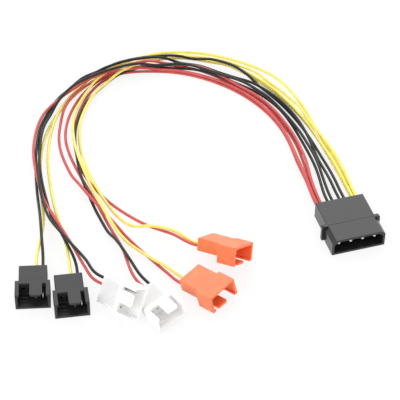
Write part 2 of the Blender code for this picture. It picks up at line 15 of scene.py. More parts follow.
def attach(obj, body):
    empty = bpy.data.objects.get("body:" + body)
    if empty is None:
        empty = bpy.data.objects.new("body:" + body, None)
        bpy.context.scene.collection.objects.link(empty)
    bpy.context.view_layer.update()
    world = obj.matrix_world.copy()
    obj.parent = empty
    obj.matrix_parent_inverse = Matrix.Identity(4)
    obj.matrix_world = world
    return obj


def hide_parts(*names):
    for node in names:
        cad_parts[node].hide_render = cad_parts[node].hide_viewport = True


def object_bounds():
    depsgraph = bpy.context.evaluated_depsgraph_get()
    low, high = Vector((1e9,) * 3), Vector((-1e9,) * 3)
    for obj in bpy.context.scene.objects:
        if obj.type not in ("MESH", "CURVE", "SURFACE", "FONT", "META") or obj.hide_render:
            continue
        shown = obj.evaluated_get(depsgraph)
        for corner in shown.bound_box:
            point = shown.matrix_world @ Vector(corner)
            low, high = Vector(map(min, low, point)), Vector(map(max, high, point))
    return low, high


bl_info = {
    "name": "Fan Adapter Cable Looks",
    "version": (1, 0, 0),
    "blender": (4, 5, 0),
    "location": "3D View > Sidebar > Cable",
    "description": "Jacketed leads, moulded connectors and bright contacts on a pale stage",
    "category": "Object",
}

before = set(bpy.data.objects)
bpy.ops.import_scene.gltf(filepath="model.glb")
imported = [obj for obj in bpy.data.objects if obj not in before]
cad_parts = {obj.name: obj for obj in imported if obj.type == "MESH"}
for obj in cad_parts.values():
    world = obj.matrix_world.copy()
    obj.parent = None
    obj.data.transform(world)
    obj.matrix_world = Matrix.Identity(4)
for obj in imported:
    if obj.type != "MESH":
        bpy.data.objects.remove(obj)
CAD_LOW, CAD_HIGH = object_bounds()

MM = 0.001
BODY = "root"

# Fits between pieces, as in the solids
SEAT_GAP = 0.3 * MM
HOLE_CLEARANCE = 0.3 * MM
CUT_MARGIN = 1.0 * MM
CONTACT_POSITIONS = 4

# Power connector, as in the solids
POWER_LENGTH = 23.2 * MM
POWER_BACK_WIDTH = 20.5 * MM
POWER_BACK_HEIGHT = 7.4 * MM
POWER_SHELL_LENGTH = 9.4 * MM
POWER_SHELL_WIDTH = 22.4 * MM
POWER_SHELL_HEIGHT = 7.6 * MM
POWER_SHELL_CHAMFER = 1.55 * MM
POWER_WALL = 1.0 * MM
POWER_MOUTH_DEPTH = 8.4 * MM
POWER_PARTITION = 2.0 * MM
POWER_PITCH = 5.08 * MM
POWER_EAR_REACH = 2.1 * MM
POWER_EAR_THICKNESS = 1.3 * MM
POWER_EAR_OVERLAP = 0.5 * MM
POWER_PIN_DIAMETER = 2.1 * MM
POWER_PIN_SETBACK = 2.0 * MM
POWER_BARREL_DIAMETER = 3.6 * MM
POWER_BARREL_LENGTH = 6.2 * MM
POWER_POCKET_DIAMETER = POWER_BARREL_DIAMETER + 2 * HOLE_CLEARANCE
POWER_POCKET_FRONT = -(POWER_MOUTH_DEPTH + POWER_PARTITION)
POWER_PIN_HEIGHT = POWER_BACK_HEIGHT / 2

# Fan connectors, as in the solids
FAN_BODY_LENGTH = 10.2 * MM
FAN_BODY_WIDTH = 11.0 * MM
FAN_BODY_HEIGHT = 5.3 * MM
FAN_SHROUD_LENGTH = 8.0 * MM
FAN_SHROUD_WIDTH = 13.5 * MM
FAN_SHROUD_HEIGHT = 7.6 * MM
FAN_SIDE_WALL = 1.05 * MM
FAN_FLOOR = 1.0 * MM
FAN_ROOF = 0.9 * MM
FAN_MOUTH_DEPTH = 7.2 * MM
FAN_PARTITION = 2.0 * MM
FAN_PITCH = 2.54 * MM
FAN_LIP_WIDTH = 1.6 * MM
FAN_TONGUE_WIDTH = 4.9 * MM
FAN_SLOT_START = 1.7 * MM
FAN_RIDGE_LENGTH = 0.7 * MM
FAN_RIDGE_HEIGHT = 0.35 * MM
FAN_RIDGE_WIDTH = 3.6 * MM
FAN_RIDGE_SETBACKS = (0.9 * MM, 2.9 * MM, 4.9 * MM)
FAN_PIN_SIZE = 0.64 * MM
FAN_PIN_SETBACK = 2.3 * MM
FAN_PIN_HEIGHT = 3.7 * MM
FAN_BARREL_SIZE = 1.6 * MM
FAN_BARREL_LENGTH = 4.0 * MM
FAN_LENGTH = FAN_SHROUD_LENGTH + FAN_BODY_LENGTH
FAN_POCKET_SIZE = FAN_BARREL_SIZE + 2 * HOLE_CLEARANCE
FAN_POCKET_FRONT = -(FAN_MOUTH_DEPTH + FAN_PARTITION)

# Leads, as in the solids
LEAD_DIAMETER = 1.3 * MM
LEAD_SEAT_GAP = 0.14 * MM
LEAD_GAP = 0.2 * MM
LEAD_LIFT = 0.03 * MM
LEAD_STRAIGHT = 5.0 * MM
LEAD_DROP = 26.0 * MM
LEAD_HUMP = 7.0 * MM
LEAD_HOLD = 12.0 * MM
LEAD_RADIUS = LEAD_DIAMETER / 2
LEAD_SEAT_PITCH = LEAD_DIAMETER + LEAD_SEAT_GAP
LAY_STEP = 1.0 * MM
SPLINE_SAMPLES = 40

# Where each fan connector lies: x, y and the turn of its mouth, then how far it leans and tips up
FAN_PLACES = {
    "12v_a": ((-131.0 * MM, -6.5 * MM), -103.0, 0.0, 0.0),
    "12v_b": ((-117.5 * MM, -15.0 * MM), -98.0, 0.0, 0.0),
    "5v_a": ((-91.5 * MM, -23.0 * MM), -57.0, 54.0, 10.0),
    "5v_b": ((-82.0 * MM, -30.0 * MM), -68.5, 10.0, 1.0),
    "7v_a": ((-46.5 * MM, -7.0 * MM), -48.7, 153.0, 12.5),
    "7v_b": ((-61.5 * MM, -25.5 * MM), -61.5, 186.0, 12.0),
}
FAN_SLOTS = {"12v": "black_nylon", "5v": "natural_nylon", "7v": "orange_nylon"}

# Each lead in the order in which it is laid, so that a later one passes over an earlier one:
# colour, fan connector, fan position (0 is the outer one), power position and its place in that pocket
# in half pitches, then the route on the ground in millimetres
LEADS = {
    "lead_12v_a_yellow": ("yellow", "12v_a", 1, 3, (-1, -1), (
        (7, 28.5), (7.5, 42.5), (7, 57), (5, 71), (1.5, 84.5), (-4, 97.5), (-11, 109.5), (-20, 120),
        (-32.5, 127), (-46.5, 129), (-60.5, 126.5), (-73.5, 121.5), (-85, 113.5), (-95, 103.5),
        (-103, 92), (-108.5, 79), (-112, 65.5), (-114.5, 51.5), (-117, 37.5), (-121.5, 24))),
    "lead_12v_b_yellow": ("yellow", "12v_b", 1, 3, (1, -1), (
        (8.5, 28.5), (8.5, 43.5), (8.5, 58), (8.5, 73), (7, 87.5), (2.5, 101.5), (-6.5, 113),
        (-18, 122.5), (-31, 129), (-45.5, 130.5), (-60, 128), (-73.5, 122.5), (-85.5, 113.5),
        (-95, 102.5), (-102, 89.5), (-106.5, 75.5), (-109, 61), (-110.5, 46), (-111, 31.5),
        (-112, 16.5))),
    "lead_7v_a_red": ("red", "7v_a", 0, 0, (-1, -1), (
        (-7.5, 28.5), (-6.5, 42.5), (-5.5, 56.5), (-6.5, 70.5), (-10.5, 84), (-17, 96), (-26, 106.5),
        (-37.5, 115), (-50.5, 120), (-64.5, 121.5), (-76.5, 115), (-85, 104), (-91, 91.5), (-94, 78),
        (-94.5, 64), (-91.5, 50), (-86, 37.5), (-78, 25.5), (-70, 14))),
    "lead_5v_b_red": ("red", "5v_b", 1, 0, (1, -1), (
        (-6, 28.5), (-4, 42.5), (-3, 56.5), (-4.5, 71), (-7.5, 84.5), (-14.5, 97), (-22.5, 108.5),
        (-33, 118), (-46, 123.5), (-60, 124), (-73.5, 119.5), (-84, 110.5), (-92, 98.5), (-96.5, 85.5),
        (-97, 71), (-95.5, 57), (-93.5, 43), (-92, 29), (-90.5, 15), (-91, 1))),
    "lead_5v_b_black": ("black", "5v_b", 0, 1, (-1.4, 0), (
        (-2, 28.5), (0, 43), (0, 57.5), (-1, 72), (-5, 86), (-14, 97.5), (-23.5, 108.5), (-35, 117),
        (-49, 121.5), (-63.5, 120), (-76, 112.5), (-85, 101.5), (-91.5, 88), (-94.5, 74), (-96, 59.5),
        (-95.5, 45), (-94, 30.5), (-92, 16), (-89.5, 1.5))),
    "lead_7v_b_red": ("red", "7v_b", 0, 0, (-1, 1), (
        (-7.5, 28.5), (-6.5, 42.5), (-5.5, 56.5), (-6.5, 70.5), (-10.5, 84.5), (-17, 96.5),
        (-26.5, 107), (-38, 115), (-51.5, 119.5), (-65.5, 120.5), (-78.5, 116.5), (-89.5, 107.5),
        (-96.5, 95), (-100, 81.5), (-100, 67.5), (-98, 53.5), (-94, 40), (-89, 26.5), (-84, 13.5),
        (-78.5, 0.5))),
    "lead_7v_b_yellow": ("yellow", "7v_b", 1, 3, (-1, 1), (
        (7, 28.5), (7, 43.5), (6.5, 58), (4.5, 72.5), (0.5, 87), (-5.5, 100.5), (-14.5, 112),
        (-26, 121.5), (-39.5, 126.5), (-54, 125.5), (-68, 120.5), (-80, 112), (-88.5, 100), (-93, 86),
        (-94.5, 71.5), (-94, 56.5), (-93, 42), (-91, 27), (-86, 13.5), (-78, 1))),
    "lead_7v_a_yellow": ("yellow", "7v_a", 1, 3, (1, 1), (
        (9, 28.5), (9, 42.5), (7.5, 56.5), (6, 70.5), (4.5, 84.5), (-1, 97.5), (-10, 108.5),
        (-20.5, 117.5), (-33, 124), (-47, 123.5), (-60.5, 119.5), (-73.5, 113.5), (-82.5, 103),
        (-89, 90.5), (-92, 76.5), (-93, 62.5), (-91.5, 48.5), (-88, 35), (-80.5, 23), (-69, 15))),
    "lead_12v_b_black": ("black", "12v_b", 0, 2, (1.4, 0), (
        (4, 28.5), (4.5, 43), (4, 57), (2, 71.5), (-1.5, 85), (-7, 98.5), (-14.5, 110.5), (-26, 119),
        (-39.5, 124), (-53.5, 125.5), (-67.5, 124), (-81.5, 120), (-93.5, 112.5), (-101.5, 100.5),
        (-107, 87.5), (-110.5, 73.5), (-112.5, 59), (-113, 45), (-112.5, 30.5), (-111, 16.5))),
    "lead_12v_a_black": ("black", "12v_a", 0, 2, (-1.4, 0), (
        (2, 28.5), (2.5, 43), (3, 57.5), (2, 72), (-2, 86), (-9, 98.5), (-18.5, 109), (-30.5, 117.5),
        (-44, 122), (-58.5, 123.5), (-72.5, 120.5), (-86, 115.5), (-97, 106.5), (-105, 94.5),
        (-110, 81), (-113.5, 67), (-116, 52.5), (-118, 38.5), (-120.5, 24))),
    "lead_5v_a_red": ("red", "5v_a", 1, 0, (1, 1), (
        (-6, 28.5), (-3.5, 42.5), (-2.5, 57), (-4, 71.5), (-8, 85), (-16, 97), (-24, 109), (-35, 117.5),
        (-49, 120.5), (-63, 119.5), (-77, 116), (-90.5, 110.5), (-101.5, 101.5), (-108.5, 89),
        (-112.5, 75.5), (-114, 61), (-114, 47), (-112.5, 32.5), (-110, 18.5), (-108, 4.5))),
    "lead_5v_a_black": ("black", "5v_a", 0, 1, (1.4, 0), (
        (-0.5, 28.5), (1, 42.5), (1, 57), (-1, 71), (-5, 84.5), (-13, 96), (-23.5, 106), (-33.5, 115.5),
        (-47.5, 118.5), (-61.5, 118.5), (-75.5, 116), (-88.5, 110.5), (-99, 101), (-106, 88.5),
        (-110, 75), (-113.5, 61), (-115, 47), (-114.5, 33), (-111, 19), (-107, 5.5))),
}

# Small forms of the looks alone: cut-off corners, the fine groove behind the power shell, the
# contacts' bevels and noses, the leads' rounded ends and how far the jackets stay inside the solids
TONGUE_CUT = 0.7 * MM
WEDGE_MARGIN = 0.1 * MM
WEDGE_CORNER = 0.02 * MM
EAR_CUT = 0.6 * MM
SEAM_WIDTH = 0.3 * MM
SEAM_DEPTH = 0.06 * MM
POWER_BARREL_BEVEL = 0.25 * MM
POWER_NOSE_SHARE = 1.5  # nose length over the pin's radius
POWER_NOSE_END = math.radians(84)
PIN_SEAM_ANGLE = 0.13  # half width of a rolled pin's seam, in radians
FAN_BARREL_BEVEL = 0.15 * MM
FAN_PIN_TAPER = 0.5 * MM
FAN_PIN_POINT = ((1.0, 1.0), (0.4, 0.72), (0.0, 0.4))  # shares of the taper and of the half width
LEAD_END_ROUNDING = LEAD_RADIUS / 4
LEAD_END_STATIONS = (0.0, 0.15, 0.5, 1.0)
JACKET_INSET = 0.04 * MM
RIDGE_CORNER = 1.2  # a floor ridge's corner radius over its edge radius
HOLE_CORNER = 0.25  # a fan pin hole's corner radius over its half width

# Grids: points on each outline corner and rounded edge, rings on a nose and points round a pin
CORNER_STEPS = 6
EDGE_STEPS = 5
NOSE_STEPS = 8
PIN_SIDES = 48
SHARP_ANGLE = math.radians(35)

# How an outline's own two axes and the sweep lie in a connector's frame, one row each
SWEEP_X = np.array([[0.0, 1.0, 0.0], [0.0, 0.0, 1.0], [1.0, 0.0, 0.0]])
SWEEP_Z = np.eye(3)

# Each connector's nylon: its colour setting, roughness, grain depth and, where light goes through it,
# how far red, green and blue travel in it
NYLONS = {
    "power": ("black", 0.22, 0.005 * MM, None),
    "12v": ("black", 0.42, 0.01 * MM, None),
    "5v": ("natural", 0.35, 0.006 * MM, (1.0, 1.0, 1.0)),
    "7v": ("orange", 0.35, 0.006 * MM, (1.0, 0.3, 0.2)),
}

# Sizes and strengths of what varies over the materials
TONE_CONTRAST = 3
NYLON_FLOW = 5 * MM
NYLON_GRAIN = 0.3 * MM
NYLON_SPREAD = 1.5 * MM
STRANDS = 8
STRAND_LAY = 9 * MM
JACKET_PATCH = 4 * MM
JACKET_ROUGHNESS = 0.32
TIN_LINE = 0.12 * MM
TIN_CLOUD = 1.2 * MM
# Share of the tin colour kept on the fan pins: painted shade, since the pins sit in the dark of the
# mouths
FAN_TIN_PAINTED_SHADE = 0.7

# Camera: where it stands, what floor point it looks at, its lens and its small roll
CAMERA_PLACE = (-0.19566, -0.42422, 0.45298)
CAMERA_TARGET = (-0.05213, 0.03382, 0.0)
CAMERA_ROLL = math.radians(0.83)
CAMERA_LENS = 144.5
CAMERA_NEAR = 0.01

# Lamps, as the place from the cable's middle and the width, and the floor's half width and roughness
KEY_LAMP = ((0.2, 0.65, 0.68), 0.8)
FILL_LAMP = ((-0.7, -0.3, 0.5), 0.6)
FLOOR_REACH = 3.0
FLOOR_ROUGHNESS = 0.9


# The leads' centre lines


def centred_row(pitch):
    """The y of every contact position in a row centred on the connector."""
    return [(k - (CONTACT_POSITIONS - 1) / 2) * pitch for k in range(CONTACT_POSITIONS)]


def resting_height(turn):
    """How high a turned fan connector's origin stands when its lowest corner is on the ground."""
    corners = [
        (x, side * FAN_SHROUD_WIDTH / 2, z)
        for x in (-FAN_SHROUD_LENGTH, 0)
        for side in (-1, 1)
        for z in (0, FAN_SHROUD_HEIGHT)
    ]
    corners += [
        (-FAN_LENGTH, side * FAN_BODY_WIDTH / 2, z) for side in (-1, 1) for z in (0, FAN_BODY_HEIGHT)
    ]
    return -min((turn.to_matrix() @ Vector(corner)).z for corner in corners)


def fan_frame(place):
    """The place and turn of one fan connector."""
    (x, y), heading, lean, tip_up = FAN_PLACES[place]
    turn = Euler((math.radians(lean), -math.radians(tip_up), math.radians(heading)))
    return Matrix.Translation((x, y, resting_height(turn))) @ turn.to_matrix().to_4x4()


def power_frame():
    """The place and turn of the power connector."""
    turn = Euler((0, 0, -math.pi / 2))
    return Matrix.Translation((0, -POWER_LENGTH / 2, 0)) @ turn.to_matrix().to_4x4()


def power_end(position, seat):
    """A lead's end in the power connector: butting the barrel, then straight out of the back."""
    y = centred_row(POWER_PITCH)[position] + seat[0] * LEAD_SEAT_PITCH / 2
    z = POWER_PIN_HEIGHT + seat[1] * LEAD_SEAT_PITCH / 2
    inner = POWER_POCKET_FRONT - SEAT_GAP - POWER_BARREL_LENGTH - SEAT_GAP
    stations = (inner, -POWER_LENGTH - LEAD_DIAMETER, -POWER_LENGTH - LEAD_STRAIGHT)
    place = power_frame()
    return [place @ Vector((x, y, z)) for x in stations]


def fan_end(place, position):
    """A lead's end in a fan connector: straight into the back, butting the barrel."""
    y = centred_row(-FAN_PITCH)[position]
    inner = FAN_POCKET_FRONT - SEAT_GAP - FAN_BARREL_LENGTH - SEAT_GAP
    stations = (-FAN_LENGTH - LEAD_STRAIGHT, -FAN_LENGTH - LEAD_DIAMETER, inner)
    turn = fan_frame(place)
    return [turn @ Vector((x, y, FAN_PIN_HEIGHT)) for x in stations]


def smooth_curve(points, step):
    """A natural cubic spline through the points by chord length, read at even steps along it."""
    points = np.asarray(points, float)
    knots = np.concatenate([[0.0], np.cumsum(np.linalg.norm(np.diff(points, axis=0), axis=1))])
    count = len(points)
    gaps = np.diff(knots)
    system = np.eye(count)
    right = np.zeros_like(points)
    for k in range(1, count - 1):
        system[k, k - 1:k + 2] = gaps[k - 1], 2 * (gaps[k - 1] + gaps[k]), gaps[k]
        slope_after = (points[k + 1] - points[k]) / gaps[k]
        slope_before = (points[k] - points[k - 1]) / gaps[k - 1]
        right[k] = 6 * (slope_after - slope_before)
    bends = np.linalg.solve(system, right)
    at = np.linspace(0, knots[-1], SPLINE_SAMPLES * count)
    span = np.clip(np.searchsorted(knots, at, side="right") - 1, 0, count - 2)
    gap = gaps[span][:, None]
    a = (knots[span + 1] - at)[:, None] / gap
    b = 1 - a
    curve = a * points[span] + b * points[span + 1]
    curve += ((a**3 - a) * bends[span] + (b**3 - b) * bends[span + 1]) * gap**2 / 6
    return evenly_read(curve, step)


def evenly_read(curve, step):
    """A polyline read again at even steps along its length."""
    along = np.concatenate([[0.0], np.cumsum(np.linalg.norm(np.diff(curve, axis=0), axis=1))])
    at = np.linspace(0, along[-1], int(round(along[-1] / step)) + 1)
    return np.stack([np.interp(at, along, column) for column in curve.T], axis=1)


def ease(t):
    """0 below 0, 1 above 1 and a smooth step between."""
    t = np.clip(t, 0, 1)
    return t * t * (3 - 2 * t)


def lay_over(plan, start, end, laid):
    """The height of a lead along its plan, over the ground and over the leads already laid.

    It leaves each end in line with its pocket, drops to the ground, and where it passes over an
    earlier lead it rises in a long low hump: the height it needs is widened both ways and then
    averaged over that width.
    """
    rest = LEAD_RADIUS + LEAD_LIFT
    along = np.concatenate([[0.0], np.cumsum(np.linalg.norm(np.diff(plan, axis=0), axis=1))])
    own = np.full(len(plan), rest)
    free = np.ones(len(plan))
    for travelled, (inner, mouth, outer) in ((along, start), (along[-1] - along, end)):
        inside = (mouth - inner).xy.length
        straight = inside + (outer - mouth).xy.length
        line = inner.z + travelled * (mouth.z - inner.z) / inside
        own += (np.maximum(line, rest) - rest) * (1 - ease((travelled - straight) / LEAD_DROP))
        free = np.minimum(free, ease((travelled - inside) / LEAD_HOLD))
    need = own.copy()
    reach = LEAD_DIAMETER + LEAD_GAP
    for earlier in laid:
        apart = ((plan[:, None, :] - earlier[None, :, :2]) ** 2).sum(axis=2)
        over = earlier[None, :, 2] + np.sqrt(np.maximum(reach**2 - apart, 0))
        need = np.maximum(need, np.where(apart < reach**2, over, 0).max(axis=1))
    width = int(round(LEAD_HUMP / LAY_STEP))
    padded = np.pad(need, width, mode="edge")
    widened = np.max([padded[k:k + len(need)] for k in range(2 * width + 1)], axis=0)
    weights = 1 + np.cos(np.linspace(-math.pi, math.pi, 2 * width + 3)[1:-1])
    averaged = np.convolve(np.pad(widened, width, mode="edge"), weights / weights.sum(), mode="valid")
    return own + (averaged - own) * free


def laid_leads():
    """The centre line of every lead, laid in order, each over those before it."""
    lines = {}
    for name, (_, place, fan_position, power_position, seat, route) in LEADS.items():
        start = power_end(power_position, seat)
        end = fan_end(place, fan_position)
        points = [point[:2] for point in start]
        points += [(x * MM, y * MM) for x, y in route]
        points += [point[:2] for point in end]
        plan = smooth_curve(points, LAY_STEP)
        height = lay_over(plan, start, end[::-1], lines.values())
        lines[name] = np.column_stack([plan, height])
    return lines


# Surfaces on grids


def box_outline(low_u, low_v, high_u, high_v):
    """The corners of a rectangle, anticlockwise."""
    return [(low_u, low_v), (high_u, low_v), (high_u, high_v), (low_u, high_v)]


def shell_outline(width, top, bottom, chamfer):
    """A flat-bottomed outline with its two top corners cut off, anticlockwise."""
    half = width / 2
    return [
        (-half, bottom),
        (half, bottom),
        (half, top - chamfer),
        (half - chamfer, top),
        (-half + chamfer, top),
        (-half, top - chamfer),
    ]


def rounded(corners, radius):
    """An anticlockwise convex outline with an arc at each corner, as arc centres and unit spokes.

    A centre lies at corner - radius * (n1 + n2) / (1 + n1.n2), where n1 and n2 are the outward
    normals of the two edges that meet there, and a point of the outline is centre + radius * spoke.
    So centre + (radius + offset) * spoke is the outline moved out by that offset.
    """
    corners = np.asarray(corners, float)
    edges = np.roll(corners, -1, axis=0) - corners
    after = np.stack([edges[:, 1], -edges[:, 0]], axis=1) / np.linalg.norm(edges, axis=1)[:, None]
    before = np.roll(after, 1, axis=0)
    centres = corners - radius * (before + after) / (1 + (before * after).sum(axis=1))[:, None]
    start = np.arctan2(before[:, 1], before[:, 0])
    turn = (np.arctan2(after[:, 1], after[:, 0]) - start) % (2 * math.pi)
    angles = start[:, None] + turn[:, None] * np.linspace(0, 1, CORNER_STEPS)
    spokes = np.stack([np.cos(angles), np.sin(angles)], axis=-1).reshape(-1, 2)
    return np.repeat(centres, CORNER_STEPS, axis=0), spokes


def round_off(plane, radius, inward):
    """Stations of a quarter circle that closes one end of a sweep.

    place = plane + inward * radius * (1 - cos a) and offset = -radius * (1 - sin a), for a from
    0 to 90 degrees; inward is 1 at the low end and -1 at the high end, where the order turns round.
    """
    a = np.linspace(0, math.pi / 2, EDGE_STEPS)
    stations = np.stack([plane + inward * radius * (1 - np.cos(a)), -radius * (1 - np.sin(a))], axis=1)
    return stations[::inward]


def flare(plane, radius, outward):
    """Stations that widen a cutter at the surface, so that the hole has a rounded edge.

    place = plane - outward * radius * (1 - sin a) and offset = radius * (1 - cos a), for a from
    0 to 90 degrees, and then straight on past the surface.
    """
    a = np.linspace(0, math.pi / 2, EDGE_STEPS)
    stations = np.stack([plane - outward * radius * (1 - np.sin(a)), radius * (1 - np.cos(a))], axis=1)
    stations = np.concatenate([stations, [[plane + outward * CUT_MARGIN, radius]]])
    return stations[::outward]


def swept(corners, radius, stations, axes=SWEEP_X):
    """A rounded outline carried along one axis: centre + (radius + offset) * spoke at each place."""
    centres, spokes = rounded(corners, radius)
    places, offsets = np.concatenate(stations).T
    flat = centres[None] + (radius + offsets)[:, None, None] * spokes[None]
    return flat @ axes[:2] + places[:, None, None] * axes[2]


def mesh_of(name, grids, measured=False):
    """One mesh of several closed grids: columns close round the sweep and the end rows are capped.

    With measured set, its UV map holds the length along the rows and round the columns in metres.
    """
    points, faces, lengths, first = [], [], [], 0
    for grid in grids:
        rows, columns = grid.shape[:2]
        index = first + np.arange(rows * columns).reshape(rows, columns)
        after = np.roll(index, -1, axis=1)
        quads = np.stack([index[:-1], after[:-1], after[1:], index[1:]], axis=-1).reshape(-1, 4)
        faces += quads.tolist() + [index[0, ::-1].tolist(), index[-1].tolist()]
        points.append(grid.reshape(-1, 3))
        first += rows * columns
        if measured:
            lengths.append(grid_lengths(grid))
    mesh = bpy.data.meshes.new(name)
    mesh.from_pydata(np.concatenate(points).tolist(), [], faces)
    if measured:
        chart = mesh.uv_layers.new(name="UVMap")
        chart.data.foreach_set("uv", np.concatenate(lengths).astype(np.float32).ravel())
    mesh.validate()
    return mesh


def grid_lengths(grid):
    """The UV of every face corner of one grid, (length along, length round), unbroken at the seam."""
    middle = grid.mean(axis=1)
    along = np.concatenate([[0.0], np.cumsum(np.linalg.norm(np.diff(middle, axis=0), axis=1))])
    ring = grid[len(grid) // 2]
    sides = np.linalg.norm(np.roll(ring, -1, axis=0) - ring, axis=1)
    around = np.concatenate([[0.0], np.cumsum(sides)])
    u, v = np.meshgrid(along, around, indexing="ij")
    chart = np.stack([u, v], axis=-1)
    quads = np.stack([chart[:-1, :-1], chart[:-1, 1:], chart[1:, 1:], chart[1:, :-1]], axis=2)
    return np.concatenate([quads.reshape(-1, 2), chart[0, -2::-1], chart[-1, :-1]])


def linked(name, data):
    """A new object with that data, in the scene."""
    made = bpy.data.objects.new(name, data)
    bpy.context.collection.objects.link(made)
    return made


def carved(name, body, steps):
    """The body after each step in turn: grids joined to it (UNION) or taken out of it (DIFFERENCE)."""
    helpers = []
    whole = linked(name, mesh_of(name, [body]))
    for operation, groups in steps:
        for grids in groups:
            helper = linked(f"{name}_helper", mesh_of(f"{name}_helper", grids))
            modifier = whole.modifiers.new(operation.lower(), "BOOLEAN")
            modifier.operation = operation
            modifier.object = helper
            helpers.append(helper)
    bpy.context.view_layer.update()
    graph = bpy.context.evaluated_depsgraph_get()
    mesh = bpy.data.meshes.new_from_object(whole.evaluated_get(graph))
    for thing in (whole, *helpers):
        bpy.data.objects.remove(thing)
    return mesh


def shaded(mesh):
    """Smooth shading with every edge sharper than SHARP_ANGLE kept sharp."""
    mesh.shade_smooth()
    mesh.set_sharp_from_angle(angle=SHARP_ANGLE)
    return mesh


def add_piece(name, mesh, material, stands_for, moulded=False):
    """A finished piece at the origin, which rides on the cable's one body and hides its solid."""
    piece = linked(name, mesh)
    mesh.materials.clear()
    mesh.materials.append(material)
    if moulded:
        piece.modifiers.new("even faces", "WEIGHTED_NORMAL").keep_sharp = True
    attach(piece, BODY)
    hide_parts(stands_for)
    return piece


# Shader recipes


class Signal:
    """A shader socket: arithmetic on it adds Math nodes, so that a mask reads as a formula."""

    def __init__(self, recipe, socket):
        self.recipe = recipe
        self.socket = socket

    def worked(self, operation, *values):
        return self.recipe.add("ShaderNodeMath", {"operation": operation}, dict(enumerate(values)))

    def __add__(self, other):
        return self.worked("ADD", self, other)

    __radd__ = __add__

    def __sub__(self, other):
        return self.worked("SUBTRACT", self, other)

    def __rsub__(self, other):
        return self.worked("SUBTRACT", other, self)

    def __mul__(self, other):
        return self.worked("MULTIPLY", self, other)

    __rmul__ = __mul__

    def wave(self):
        return self.worked("SINE", self)


class Recipe:
    """The nodes of one material, world or floor."""

    def __init__(self, owner):
        owner.use_nodes = True
        self.owner = owner
        self.tree = owner.node_tree

    def add(self, kind, settings=None, values=None, output=0):
        """Adds a node: its settings first, then a value or a link for each named or numbered socket."""
        node = self.tree.nodes.new(kind)
        for key, value in (settings or {}).items():
            setattr(node, key, value)
        for key, value in (values or {}).items():
            self.feed(node.inputs[key], value)
        return Signal(self, node.outputs[output])

    def feed(self, socket, value):
        if isinstance(value, Signal):
            self.tree.links.new(value.socket, socket)
        else:
            socket.default_value = value

    def finish(self, **values):
        """Feeds the Principled shader that the material came with; a name's _ stands for a space."""
        shader = self.tree.nodes["Principled BSDF"]
        for key, value in values.items():
            self.feed(shader.inputs[key.replace("_", " ")], value)
        return self.owner

    def place(self):
        return self.add("ShaderNodeTexCoord", output="Object")

    def noise(self, where, size, detail=2.0):
        """Noise from 0 to 1 whose features are about that size in metres."""
        values = {"Vector": where, "Scale": 1 / size, "Detail": detail}
        return self.add("ShaderNodeTexNoise", values=values)

    def mixed(self, factor, first, second):
        """A colour between two colours."""
        values = {0: factor, 6: first, 7: second}
        return self.add("ShaderNodeMix", {"data_type": "RGBA"}, values, output=2)

    def bump(self, height, distance, strength=1.0):
        values = {"Height": height, "Distance": distance, "Strength": strength}
        return self.add("ShaderNodeBump", values=values)


def scaled(colour, factor):
    """A colour times a factor, as an RGBA value."""
    return (*[min(channel * factor, 1.0) for channel in colour[:3]], 1.0)


def contrasted(noise):
    """Noise spread about its middle, so that it reaches both of the colours that it mixes."""
    return (noise - 0.5) * TONE_CONTRAST + 0.5


def moulded_nylon(name, colour, roughness, depth, spread):
    """Injection-moulded nylon: a faint flow cloud in the colour and a fine spark-eroded grain.

    tone = contrasted flow noise, between 0.92 and 1.08 times the colour;
    roughness = its value + 0.12 * (grain - 0.5); height = grain.
    With a spread, light also goes through it: the share of red, green and blue that travels so.
    """
    recipe = Recipe(bpy.data.materials.new(name))
    where = recipe.place()
    flow = recipe.noise(where, NYLON_FLOW, detail=3)
    grain = recipe.noise(where, NYLON_GRAIN)
    recipe.finish(
        Base_Color=recipe.mixed(contrasted(flow), scaled(colour, 0.92), scaled(colour, 1.08)),
        Roughness=roughness + (grain - 0.5) * 0.12,
        Normal=recipe.bump(grain, depth),
    )
    if spread:
        recipe.finish(Subsurface_Weight=1.0, Subsurface_Radius=spread, Subsurface_Scale=NYLON_SPREAD)
    return recipe.owner


def soft_jacket(name, colour):
    """A lead's extruded jacket: the strands under it show as a faint helix, and its gloss is patchy.

    helix = sin(2 pi * (strands * round / circumference + along / lay));
    height = 0.1 * helix + 1.5 * patches; tone = contrasted patches, between 0.9 and 1.06 times the
    colour; roughness = its value + 0.2 * (patches - 0.5).
    """
    recipe = Recipe(bpy.data.materials.new(name))
    uv = recipe.add("ShaderNodeUVMap", {"uv_map": "UVMap"})
    along = recipe.add("ShaderNodeSeparateXYZ", values={0: uv})
    around = Signal(recipe, along.socket.node.outputs[1])
    turns = around * (STRANDS / (math.pi * LEAD_DIAMETER)) + along * (1 / STRAND_LAY)
    helix = (turns * (2 * math.pi)).wave()
    patches = recipe.noise(recipe.place(), JACKET_PATCH)
    return recipe.finish(
        Base_Color=recipe.mixed(contrasted(patches), scaled(colour, 0.9), scaled(colour, 1.06)),
        Roughness=JACKET_ROUGHNESS + (patches - 0.5) * 0.2,
        Normal=recipe.bump(helix * 0.1 + patches * 1.5, 0.02 * MM, 0.25),
        Specular_IOR_Level=0.4,
    )


